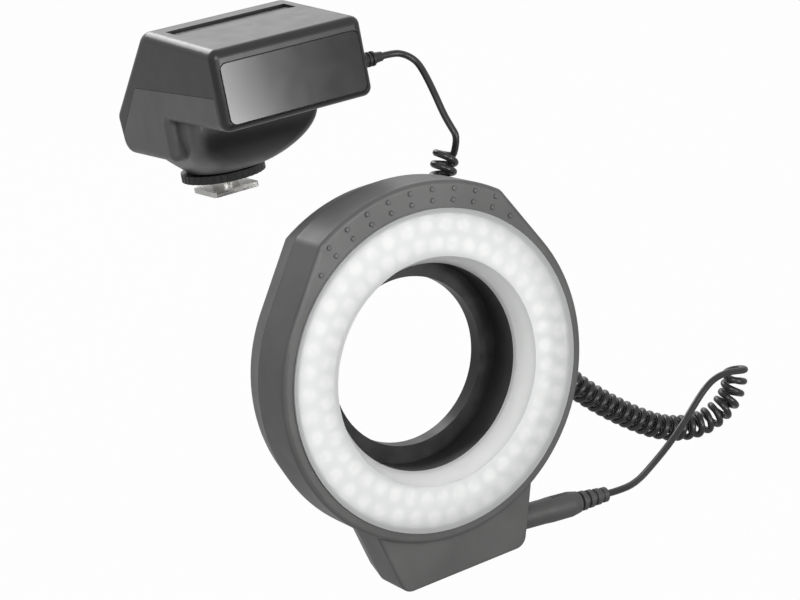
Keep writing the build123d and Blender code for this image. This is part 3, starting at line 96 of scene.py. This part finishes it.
curl_route = [
    (0.0490, 0.0324, 0.0566),
    (0.0448, 0.0316, 0.0506),
    (0.0436, 0.0310, 0.0360),
    (0.0490, 0.0300, 0.0200),
    (0.0570, 0.0285, 0.0040),
    (0.0660, 0.0270, -0.0140),
    (0.0755, 0.0250, -0.0315),
    (0.0870, 0.0235, -0.0445),
    (0.1010, 0.0210, -0.0566),
    (0.1150, 0.0180, -0.0662),
    (0.1295, 0.0155, -0.0697),
    (0.1415, 0.0130, -0.0656),
    (0.1473, 0.0115, -0.0570),
    (0.1476, 0.0110, -0.0506),
]

lower_route = [
    (0.1403, 0.0066, -0.0491),
    (0.1336, 0.0066, -0.0496),
    (0.1277, 0.0063, -0.0525),
    (0.1217, 0.0056, -0.0568),
    (0.1144, 0.0044, -0.0618),
    (0.1043, 0.0016, -0.0663),
    (0.0925, -0.0032, -0.0688),
    (0.0820, -0.0086, -0.0696),
    (0.07296, -0.0120, -0.06886),
    (0.065005, -0.0120, -0.068024),
]


def smooth_curve(name, points, steps):
    """Curve object of one open spline with these control points."""
    curve = bpy.data.curves.new(name, "CURVE")
    curve.dimensions = "3D"
    spline = curve.splines.new("NURBS")
    spline.points.add(len(points) - 1)
    for slot, point in zip(spline.points, points):
        slot.co = (*point, 1)
    spline.order_u = 3
    spline.use_endpoint_u = True
    spline.resolution_u = steps
    piece = bpy.data.objects.new(name, curve)
    scene.collection.objects.link(piece)
    return piece


def route_line(points):
    """Points along the smooth line of a route."""
    draft = smooth_curve("route_draft", points, line_steps)
    bpy.context.view_layer.update()
    line = bpy.data.meshes.new_from_object(draft)
    places = [vertex.co.copy() for vertex in line.vertices]
    bpy.data.meshes.remove(line)
    curve = draft.data
    bpy.data.objects.remove(draft)
    bpy.data.curves.remove(curve)
    return places


def stations_along(line):
    """Each point of a line, with two directions square to the line that turn no more than it does."""
    side = first_curl_side
    stations = []
    for index, place in enumerate(line):
        way = (line[min(index + 1, len(line) - 1)] - line[max(index - 1, 0)]).normalized()
        side = (side - way * side.dot(way)).normalized()
        stations.append((place, side, way.cross(side)))
    return stations


def turns_along(line):
    """Turns wound up to each point of a line, their pitch opening over its last stretch."""
    lengths = [0.0]
    for a, b in zip(line, line[1:]):
        lengths.append(lengths[-1] + (b - a).length)
    growth = (open_pitch - closed_pitch) / open_stretch
    turns = []
    for length in lengths:
        opened = max(length - lengths[-1] + open_stretch, 0)
        turns.append((length - opened) / closed_pitch + log(1 + growth * opened / closed_pitch) / growth)
    return turns


def curls(points):
    """Control points of the wire that winds around a route and ends on its last side."""
    line = route_line(points)
    stations = stations_along(line)
    turns = turns_along(line)
    _, end_side, end_cross = stations[-1]
    end_phase = atan2(-last_curl_side.dot(end_cross), last_curl_side.dot(end_side)) / (2 * pi)
    whole = round(turns[-1] - end_phase) + end_phase
    turns = [turn * whole / turns[-1] for turn in turns]
    steps = round(whole * points_per_curl)
    places = []
    for step in range(steps + 1):
        turn = whole * step / steps
        index = min(max(bisect(turns, turn), 1), len(turns) - 1)
        share = (turn - turns[index - 1]) / (turns[index] - turns[index - 1])
        centre, aside, cross = [a.lerp(b, share) for a, b in zip(stations[index - 1], stations[index])]
        angle = 2 * pi * turn
        places.append(centre + aside * (curl_radius * cos(angle)) - cross * (curl_radius * sin(angle)))
    return places


def wind_cord():
    """The whole cord as one piece, from the gland through its curls to the plug."""
    points = upper_route + curls(curl_route) + lower_route
    cord = smooth_curve("curly_cord", points, cord_steps)
    cord.data.bevel_depth = cord_radius
    cord.data.bevel_resolution = cord_facets
    cord.data.use_fill_caps = True
    cord.data.materials.append(cord_skin())
    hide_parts("cord_upper", "cord_coil", "cord_lower")
    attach(cord, "base")


# Where the painted shade on the shoe pillar's front, black in place of its deep shadow, blends into the
# grey behind it, above it and beside it, and how its side slants
pillar_shade_behind = (84 * mm, 94 * mm)
pillar_shade_above = (80.7 * mm, 81 * mm)
pillar_shade_beside = (-24.7 * mm, -19.7 * mm)
pillar_slant = 10.5 * mm
pillar_slant_heights = (57 * mm, 70 * mm)

# Lamp light painted on the diffuser as a pale spot over each lamp: each row's radius and its offset in
# steps between lamps, how far from its middle a spot is full, how far it reaches, and how dim a cloudy one
# gets
lamp_rows = ((48.9 * mm, 0.0), (42.4 * mm, 0.5))
lamps_per_row = 42
spot_core = 0.8 * mm
spot_reach = 4.0 * mm
dimmest_spot = 0.35

# How bright the diffuser is painted between its spots and on its lip, a painted highlight, where a spot's
# middle is 1, and the share that its outer edge keeps under painted shade
level_between = 0.5
lip_highlight_level = 0.9
diffuser_lip = (36.5 * mm, 39.5 * mm)
edge_shade_share = 0.72
diffuser_edge = (50 * mm, 53.8 * mm)

# About half a cell's length, and the share of the whole that its silver band takes
cell_reach = 25 * mm
band_share = 0.26
band_blend = 0.01

# Sockets of a Mix node that are used when it mixes colours
mix_factor, mix_first, mix_second, mix_result = 0, 6, 7, 2


def start_finish(name, colour, roughness, settings=()):
    """Material with these constants on its shader. Gives the material, its node tree and its shader."""
    finish = bpy.data.materials.new(name)
    finish.use_nodes = True
    tree = finish.node_tree
    shader = tree.nodes["Principled BSDF"]
    shader.inputs["Base Color"].default_value = (*colour, 1)
    shader.inputs["Roughness"].default_value = roughness
    for socket, value in settings:
        shader.inputs[socket].default_value = value
    return finish, tree, shader


def object_place(tree, stretch=(1, 1, 1)):
    """Object coordinates, stretched by a Mapping node."""
    coordinates = tree.nodes.new("ShaderNodeTexCoord")
    mapping = tree.nodes.new("ShaderNodeMapping")
    mapping.inputs["Scale"].default_value = stretch
    tree.links.new(coordinates.outputs["Object"], mapping.inputs["Vector"])
    return mapping.outputs["Vector"]


def axes(tree, place):
    """The three coordinates of a place, each on its own."""
    split = tree.nodes.new("ShaderNodeSeparateXYZ")
    tree.links.new(place, split.inputs["Vector"])
    return split.outputs["X"], split.outputs["Y"], split.outputs["Z"]


def grain(tree, place, size, detail):
    """Noise whose lumps are about this size, in metres."""
    noise = tree.nodes.new("ShaderNodeTexNoise")
    noise.inputs["Scale"].default_value = 1 / size
    noise.inputs["Detail"].default_value = detail
    tree.links.new(place, noise.inputs["Vector"])
    return noise.outputs["Fac"]


def ramp(tree, factor, stops):
    """Colours blended along a factor, from (place, colour) stops."""
    blend = tree.nodes.new("ShaderNodeValToRGB")
    blend.color_ramp.interpolation = "EASE"
    while len(blend.color_ramp.elements) < len(stops):
        blend.color_ramp.elements.new(0.5)
    for element, (place, colour) in zip(blend.color_ramp.elements, stops):
        element.position = place
        element.color = (*colour, 1)
    tree.links.new(factor, blend.inputs["Fac"])
    return blend.outputs["Color"]


def spread(tree, factor, first, last, start=0.25, stop=0.75):
    """A value that goes smoothly from first to last while the factor goes from start to stop."""
    remap = tree.nodes.new("ShaderNodeMapRange")
    remap.interpolation_type = "SMOOTHSTEP"
    remap.inputs["From Min"].default_value = start
    remap.inputs["From Max"].default_value = stop
    remap.inputs["To Min"].default_value = first
    remap.inputs["To Max"].default_value = last
    tree.links.new(factor, remap.inputs["Value"])
    return remap.outputs["Result"]


def reckon(tree, operation, *values):
    """Math node on sockets or numbers."""
    node = tree.nodes.new("ShaderNodeMath")
    node.operation = operation
    for slot, value in enumerate(values):
        if isinstance(value, (int, float)):
            node.inputs[slot].default_value = value
        else:
            tree.links.new(value, node.inputs[slot])
    return node.outputs["Value"]


def distance(tree, first, second):
    """Straight distance over two sides that are square to each other."""
    squares = [reckon(tree, "POWER", side, 2.0) for side in (first, second)]
    return reckon(tree, "SQRT", reckon(tree, "ADD", *squares))


def relief(tree, shader, height, depth, strength=1.0):
    """Bump of this depth in metres on the shader."""
    bump = tree.nodes.new("ShaderNodeBump")
    bump.inputs["Distance"].default_value = depth
    bump.inputs["Strength"].default_value = strength
    tree.links.new(height, bump.inputs["Height"])
    tree.links.new(bump.outputs["Normal"], shader.inputs["Normal"])


def shade(colour, share):
    """A colour made lighter or darker."""
    return tuple(min(channel * share, 1) for channel in colour)


def mottle(tree, shader, factor, colour, dark, light, start=0.3, stop=0.7):
    """Colour of the shader between a darker and a lighter share of one colour."""
    tone = ramp(tree, factor, ((start, shade(colour, dark)), (stop, shade(colour, light))))
    tree.links.new(tone, shader.inputs["Base Color"])


def uneven_gloss(tree, shader, factor, low, high):
    """Roughness of the shader between two values."""
    tree.links.new(spread(tree, factor, low, high), shader.inputs["Roughness"])


def moulded(name, colour, roughness, texture, depth):
    """Moulded plastic: a fine spark texture, uneven tone and patches of slightly different gloss."""
    finish, tree, shader = start_finish(name, colour, roughness)
    place = object_place(tree)
    mottle(tree, shader, grain(tree, place, size=18 * mm, detail=3), colour, dark=0.9, light=1.12)
    rub = grain(tree, place, size=7 * mm, detail=2)
    uneven_gloss(tree, shader, rub, low=roughness - 0.02, high=roughness + 0.04)
    relief(tree, shader, grain(tree, place, texture, detail=1), depth)
    return finish


def ring_plastic():
    """Grey plastic of the lamp ring, with a fine matt texture."""
    grey = (0.076, 0.0755, 0.074)
    return moulded("ring_plastic", grey, roughness=0.40, texture=0.35 * mm, depth=0.006 * mm)


def box_plastic():
    """Dark satin plastic of the control box."""
    dark = (0.013, 0.013, 0.0133)
    return moulded("box_plastic", dark, roughness=0.30, texture=0.30 * mm, depth=0.0015 * mm)


def base_plastic():
    """Greyer, duller plastic of the lower shell and the battery door, with black painted shade on the shoe
    pillar's front.
    """
    grey = (0.088, 0.088, 0.089)
    # Colour of the painted shade on the shoe pillar's front
    black = (0.004, 0.004, 0.004)
    finish = moulded("base_plastic", grey, roughness=0.36, texture=0.30 * mm, depth=0.003 * mm)
    tree = finish.node_tree
    shader = tree.nodes["Principled BSDF"]
    across, along, height = axes(tree, object_place(tree))
    # Mask of the painted shade: in front of the block, under the head and inside the pillar's slanting
    # sides
    before = spread(tree, along, 1, 0, *pillar_shade_behind)
    under = spread(tree, height, 1, 0, *pillar_shade_above)
    slant = spread(tree, height, pillar_slant, 0, *pillar_slant_heights)
    within = spread(tree, reckon(tree, "SUBTRACT", across, slant), 0, 1, *pillar_shade_beside)
    front = reckon(tree, "MULTIPLY", reckon(tree, "MULTIPLY", before, under), within)
    tone = shader.inputs["Base Color"].links[0].from_socket
    blend = tree.nodes.new("ShaderNodeMix")
    blend.data_type = "RGBA"
    tree.links.new(front, blend.inputs[mix_factor])
    tree.links.new(tone, blend.inputs[mix_first])
    blend.inputs[mix_second].default_value = (*black, 1)
    tree.links.new(blend.outputs[mix_result], shader.inputs["Base Color"])
    return finish


def black_plastic():
    """Black plastic of the inner sleeve, gland, lock wheel, tray, jack and slider."""
    black = (0.014, 0.014, 0.0145)
    return moulded("black_plastic", black, roughness=0.42, texture=0.30 * mm, depth=0.010 * mm)


def gloss_panel():
    """Polished dark window, with an uneven tone and faint wipe marks."""
    black = (0.008, 0.008, 0.009)
    coat = (("Coat Weight", 0.4), ("Coat Roughness", 0.13))
    finish, tree, shader = start_finish("gloss_panel", black, 0.15, coat)
    place = object_place(tree)
    cloud = grain(tree, place, size=14 * mm, detail=1)
    mottle(tree, shader, cloud, black, dark=0.8, light=1.5, start=0.35)
    uneven_gloss(tree, shader, grain(tree, place, size=6 * mm, detail=2), low=0.14, high=0.17)
    return finish


def painted_lamp_light(tree, across, height, radius):
    """Painted lamp light: one spot over the middle of each lamp, fading to nothing around it."""
    angle = reckon(tree, "ARCTAN2", height, across)
    lamps_passed = reckon(tree, "MULTIPLY", angle, lamps_per_row / (2 * pi))
    spots = None
    for row_radius, row_step in lamp_rows:
        step = reckon(tree, "FRACT", reckon(tree, "ADD", lamps_passed, lamps_per_row + 0.5 - row_step))
        pitch = 2 * pi * row_radius / lamps_per_row
        aside = reckon(tree, "MULTIPLY", reckon(tree, "SUBTRACT", step, 0.5), pitch)
        out = reckon(tree, "SUBTRACT", radius, row_radius)
        spot = spread(tree, distance(tree, aside, out), 1, 0, spot_core, spot_reach)
        spots = spot if spots is None else reckon(tree, "MAXIMUM", spots, spot)
    return spots


def diffuser_white():
    """Frosted diffuser, with lamp light painted as a pale spot over each lamp, a painted highlight on its
    lip and painted shade at its edge.
    """
    white = (0.86, 0.865, 0.86)
    gaps, middle, bright = (0.45, 0.455, 0.46), (0.76, 0.765, 0.765), (0.86, 0.865, 0.855)
    frosted = (("Transmission Weight", 0.45), ("IOR", 1.38))
    finish, tree, shader = start_finish("diffuser_white", white, 0.42, frosted)
    place = object_place(tree)
    across, _, height = axes(tree, place)
    radius = distance(tree, across, height)
    cloud = grain(tree, place, size=3 * mm, detail=2)
    spots = painted_lamp_light(tree, across, height, radius)
    # Painted lamp light, dimmer in cloudy places
    glow = reckon(tree, "MULTIPLY", spots, spread(tree, cloud, dimmest_spot, 1))
    # Painted highlight along the inner lip
    glow = reckon(tree, "MAXIMUM", glow, spread(tree, radius, lip_highlight_level, 0, *diffuser_lip))
    level = reckon(tree, "ADD", reckon(tree, "MULTIPLY", glow, 1 - level_between), level_between)
    # Painted shade towards the outer edge, where the dark housing wall shows through
    level = reckon(tree, "MULTIPLY", level, spread(tree, radius, 1, edge_shade_share, *diffuser_edge))
    tone = ramp(tree, level, ((0.25, gaps), (0.5, middle), (0.9, bright)))
    tree.links.new(tone, shader.inputs["Base Color"])
    frost = grain(tree, place, size=0.5 * mm, detail=2)
    uneven_gloss(tree, shader, frost, low=0.38, high=0.48)
    relief(tree, shader, frost, depth=0.01 * mm, strength=0.5)
    return finish


def lamp_white():
    """White lamp bodies, a little brighter than their board."""
    white = (0.95, 0.96, 0.95)
    lit = (("Emission Strength", 0.6), ("Emission Color", (1, 1, 0.98, 1)))
    finish, tree, shader = start_finish("lamp_white", white, 0.3, lit)
    cloud = grain(tree, object_place(tree), size=3 * mm, detail=1)
    mottle(tree, shader, cloud, white, dark=0.95, light=1)
    return finish


def lamp_board_finish():
    """White solder mask of the lamp board, with fine tracks under it and a faint painted glow."""
    white = (0.78, 0.79, 0.80)
    # Painted light: a faint glow, though the board is no lamp
    lit = (("Emission Strength", 0.12), ("Emission Color", (0.95, 0.97, 1, 1)))
    finish, tree, shader = start_finish("lamp_board_white", white, 0.4, lit)
    tracks = grain(tree, object_place(tree, stretch=(1, 1, 0.3)), size=2 * mm, detail=2)
    mottle(tree, shader, tracks, white, dark=0.93, light=1, start=0.45, stop=0.55)
    relief(tree, shader, tracks, depth=0.02 * mm)
    return finish


def adapter_black():
    """Black anodised metal, with the fine rings that turning leaves."""
    black = (0.016, 0.016, 0.017)
    ring_pitch = 0.25 * mm
    finish, tree, shader = start_finish("adapter_black", black, 0.34, (("Metallic", 0.35),))
    place = object_place(tree)
    across, _, height = axes(tree, place)
    phase = reckon(tree, "MULTIPLY", distance(tree, across, height), 2 * pi / ring_pitch)
    rings = spread(tree, reckon(tree, "SINE", phase), 0, 1, start=-1, stop=1)
    cloud = grain(tree, place, size=6 * mm, detail=3)
    mottle(tree, shader, cloud, black, dark=0.8, light=1.3)
    uneven_gloss(tree, shader, cloud, low=0.30, high=0.40)
    relief(tree, shader, rings, depth=0.004 * mm)
    return finish


def bare_metal(name, colour, roughness):
    """Bright metal with fine drawn lines and a few dull patches."""
    finish, tree, shader = start_finish(name, colour, roughness, (("Metallic", 1.0),))
    patches = grain(tree, object_place(tree), size=5 * mm, detail=3)
    mottle(tree, shader, patches, colour, dark=0.85, light=1)
    lines = grain(tree, object_place(tree, stretch=(0.08, 1, 1)), size=0.4 * mm, detail=3)
    uneven_gloss(tree, shader, lines, low=roughness - 0.08, high=roughness + 0.12)
    relief(tree, shader, lines, depth=0.004 * mm)
    return finish


def circuit_board():
    """Dark green board with faint tracks under its mask."""
    green = (0.004, 0.016, 0.009)
    track_green = (0.012, 0.034, 0.016)
    finish, tree, shader = start_finish("circuit_board", green, 0.35)
    tracks = tree.nodes.new("ShaderNodeTexBrick")
    tracks.inputs["Scale"].default_value = 1 / (9 * mm)
    tracks.inputs["Mortar Size"].default_value = 0.03
    tracks.inputs["Color1"].default_value = (*green, 1)
    tracks.inputs["Color2"].default_value = (*shade(green, 0.8), 1)
    tracks.inputs["Mortar"].default_value = (*track_green, 1)
    tree.links.new(object_place(tree), tracks.inputs["Vector"])
    tree.links.new(tracks.outputs["Color"], shader.inputs["Base Color"])
    relief(tree, shader, tracks.outputs["Fac"], depth=0.03 * mm)
    return finish


def cord_skin():
    """Dark rubbery sheath of the cord, smooth with a soft gloss."""
    black = (0.017, 0.017, 0.0175)
    finish, tree, shader = start_finish("cord_skin", black, 0.28)
    place = object_place(tree)
    mottle(tree, shader, grain(tree, place, size=9 * mm, detail=3), black, dark=0.85, light=1.2)
    uneven_gloss(tree, shader, grain(tree, place, size=3 * mm, detail=3), low=0.22, high=0.34)
    relief(tree, shader, grain(tree, place, size=0.8 * mm, detail=2), depth=0.01 * mm)
    return finish


def plug_rubber():
    """Greyer moulded rubber of the plug and its boot."""
    grey = (0.052, 0.051, 0.050)
    return moulded("plug_rubber", grey, roughness=0.5, texture=0.4 * mm, depth=0.015 * mm)


def button_grey():
    """Grey rubber of the buttons."""
    grey = (0.12, 0.12, 0.125)
    return moulded("button_grey", grey, roughness=0.55, texture=0.4 * mm, depth=0.012 * mm)


def cell_jacket():
    """Plain wrapped cells: a silver band at one end and a blue-grey jacket."""
    blue = (0.10, 0.14, 0.20)
    silver = (0.5, 0.5, 0.5)
    finish, tree, shader = start_finish("cell_jacket", blue, 0.25, (("Metallic", 0.4),))
    place = object_place(tree)
    across, _, _ = axes(tree, place)
    along = spread(tree, across, 0, 1, -cell_reach, cell_reach)
    stops = ((0, silver), (band_share, silver), (band_share + band_blend, blue), (1, shade(blue, 0.9)))
    tree.links.new(ramp(tree, along, stops), shader.inputs["Base Color"])
    relief(tree, shader, grain(tree, place, size=4 * mm, detail=2), depth=0.03 * mm)
    return finish


def light_pipe():
    """Clear reddish light pipes of the level display."""
    red = (0.35, 0.05, 0.03)
    finish, tree, shader = start_finish("light_pipe", red, 0.15, (("Transmission Weight", 0.4),))
    cloud = grain(tree, object_place(tree), size=0.8 * mm, detail=1)
    mottle(tree, shader, cloud, red, dark=0.9, light=1.1)
    return finish


# Each finish and the CAD pieces that wear it
steel = bare_metal("bare_steel", (0.62, 0.61, 0.59), roughness=0.28)
contact_metal = bare_metal("contact_metal", (0.75, 0.62, 0.38), roughness=0.25)
black_pieces = ("inner_sleeve", "cord_gland", "lock_wheel", "battery_tray", "supply_jack", "power_slider")
steel_pieces = ("snap_ring", "ring_screws", "box_screws", "shoe_stem", "shoe_foot", "clamp_washer")
finished_pieces = (
    (ring_plastic(), ("ring_front_shell", "ring_rear_cover")),
    (box_plastic(), ("upper_shell", "front_bezel")),
    (base_plastic(), ("lower_shell", "battery_door")),
    (black_plastic(), black_pieces),
    (gloss_panel(), ("front_window",)),
    (diffuser_white(), ("diffuser",)),
    (lamp_white(), ("lamps",)),
    (lamp_board_finish(), ("lamp_board",)),
    (adapter_black(), ("adapter_ring",)),
    (steel, steel_pieces),
    (contact_metal, ("battery_contacts", "door_contacts", "contact_pin", "plug_barrel")),
    (circuit_board(), ("driver_board", "control_board", "main_board", "switches")),
    (plug_rubber(), ("plug_body", "plug_boot")),
    (button_grey(), ("plus_button", "minus_button", "mode_button")),
    (cell_jacket(), ("battery_cells",)),
    (light_pipe(), ("light_pipes",)),
)

for finish, names in finished_pieces:
    for name in names:
        slots = nodes[name].data.materials
        slots.clear()
        slots.append(finish)

wind_cord()

# Floor and light
floor_height = -76 * mm
floor_reach = 3.0
mirrored_share = 0.45


def seen_white(tree):
    """One for rays straight from the view or through a clear part, and a share of it for reflections."""
    path = tree.nodes.new("ShaderNodeLightPath")
    seen = reckon(tree, "MAXIMUM", path.outputs["Is Camera Ray"], path.outputs["Is Transmission Ray"])
    mirrored = reckon(tree, "MULTIPLY", path.outputs["Is Glossy Ray"], mirrored_share)
    return reckon(tree, "MAXIMUM", seen, mirrored)


def mix_shaders(tree, factor, first, second, output):
    """Two shaders mixed by a factor, into an output node."""
    mix = tree.nodes.new("ShaderNodeMixShader")
    tree.links.new(factor, mix.inputs["Fac"])
    tree.links.new(first, mix.inputs[1])
    tree.links.new(second, mix.inputs[2])
    tree.links.new(mix.outputs["Shader"], output.inputs["Surface"])


def stage_white(name, colour, glow):
    """Pale surface that looks near white, straight on and in what reflects it."""
    finish = bpy.data.materials.new(name)
    finish.use_nodes = True
    tree = finish.node_tree
    tree.nodes.remove(tree.nodes["Principled BSDF"])
    cloth = tree.nodes.new("ShaderNodeBsdfDiffuse")
    cloth.inputs["Color"].default_value = (*colour, 1)
    lamp = tree.nodes.new("ShaderNodeEmission")
    lamp.inputs["Strength"].default_value = 1.0
    seen = reckon(tree, "MULTIPLY", seen_white(tree), glow)
    mix_shaders(tree, seen, cloth.outputs["BSDF"], lamp.outputs["Emission"], tree.nodes["Material Output"])
    return finish


def lay_floor():
    """Plain pale floor just under the ring."""
    sheet = bmesh.new()
    bmesh.ops.create_grid(sheet, x_segments=1, y_segments=1, size=floor_reach)
    bmesh.ops.translate(sheet, verts=sheet.verts, vec=(0, 0, floor_height))
    mesh = bpy.data.meshes.new("floor")
    sheet.to_mesh(mesh)
    sheet.free()
    floor = bpy.data.objects.new("floor", mesh)
    scene.collection.objects.link(floor)
    mesh.materials.append(stage_white("floor_white", (0.30, 0.30, 0.30), glow=0.98))


def light_world():
    """White to look at, and an even pale light for the object, darker from below."""
    world = bpy.data.worlds.new("studio")
    scene.world = world
    world.use_nodes = True
    tree = world.node_tree
    tree.nodes.clear()
    white = tree.nodes.new("ShaderNodeBackground")
    white.inputs["Strength"].default_value = 1.0
    white.inputs["Color"].default_value = (1, 1, 1, 1)
    fill = tree.nodes.new("ShaderNodeBackground")
    fill.inputs["Strength"].default_value = 1.0
    coordinates = tree.nodes.new("ShaderNodeTexCoord")
    _, _, height = axes(tree, coordinates.outputs["Generated"])
    below, level, above = (0.10, 0.10, 0.10), (0.22, 0.22, 0.22), (0.62, 0.62, 0.63)
    rise = spread(tree, height, 0, 1, start=-1, stop=1)
    sky = ramp(tree, rise, ((0.0, below), (0.5, level), (0.8, above)))
    tree.links.new(sky, fill.inputs["Color"])
    output = tree.nodes.new("ShaderNodeOutputWorld")
    seen = seen_white(tree)
    mix_shaders(tree, seen, fill.outputs["Background"], white.outputs["Background"], output)


def soft_lamp(name, place, target, size, watts):
    """Rectangular soft lamp at a place, turned towards a target."""
    data = bpy.data.lights.new(name, "AREA")
    data.shape = "RECTANGLE"
    data.size, data.size_y = size
    data.energy = watts
    lamp = bpy.data.objects.new(name, data)
    lamp.visible_camera = False
    scene.collection.objects.link(lamp)
    sight = Vector(target) - Vector(place)
    lamp.matrix_world = Matrix.Translation(place) @ sight.to_track_quat("-Z", "Y").to_matrix().to_4x4()


lay_floor()
light_world()
soft_lamp("key_front", (-0.20, -0.40, 0.24), target=(-0.04, 0, 0.03), size=(0.26, 0.26), watts=1.15)
soft_lamp("front_fill", (0.10, -0.56, -0.02), target=(-0.03, 0, 0.02), size=(0.34, 0.09), watts=0.7)
soft_lamp("back_high", (-0.05, 0.80, 0.62), target=(0, 0, 0.06), size=(0.55, 0.35), watts=2.6)
soft_lamp("back_top", (0.55, 1.15, 0.85), target=(0, 0.08, 0.08), size=(1.4, 0.8), watts=4.5)
soft_lamp("front_low", (0.280, -0.81, 0.07), target=(0, 0.04, 0.09), size=(0.20, 0.28), watts=1.7)

scene.view_settings.view_transform = "Standard"
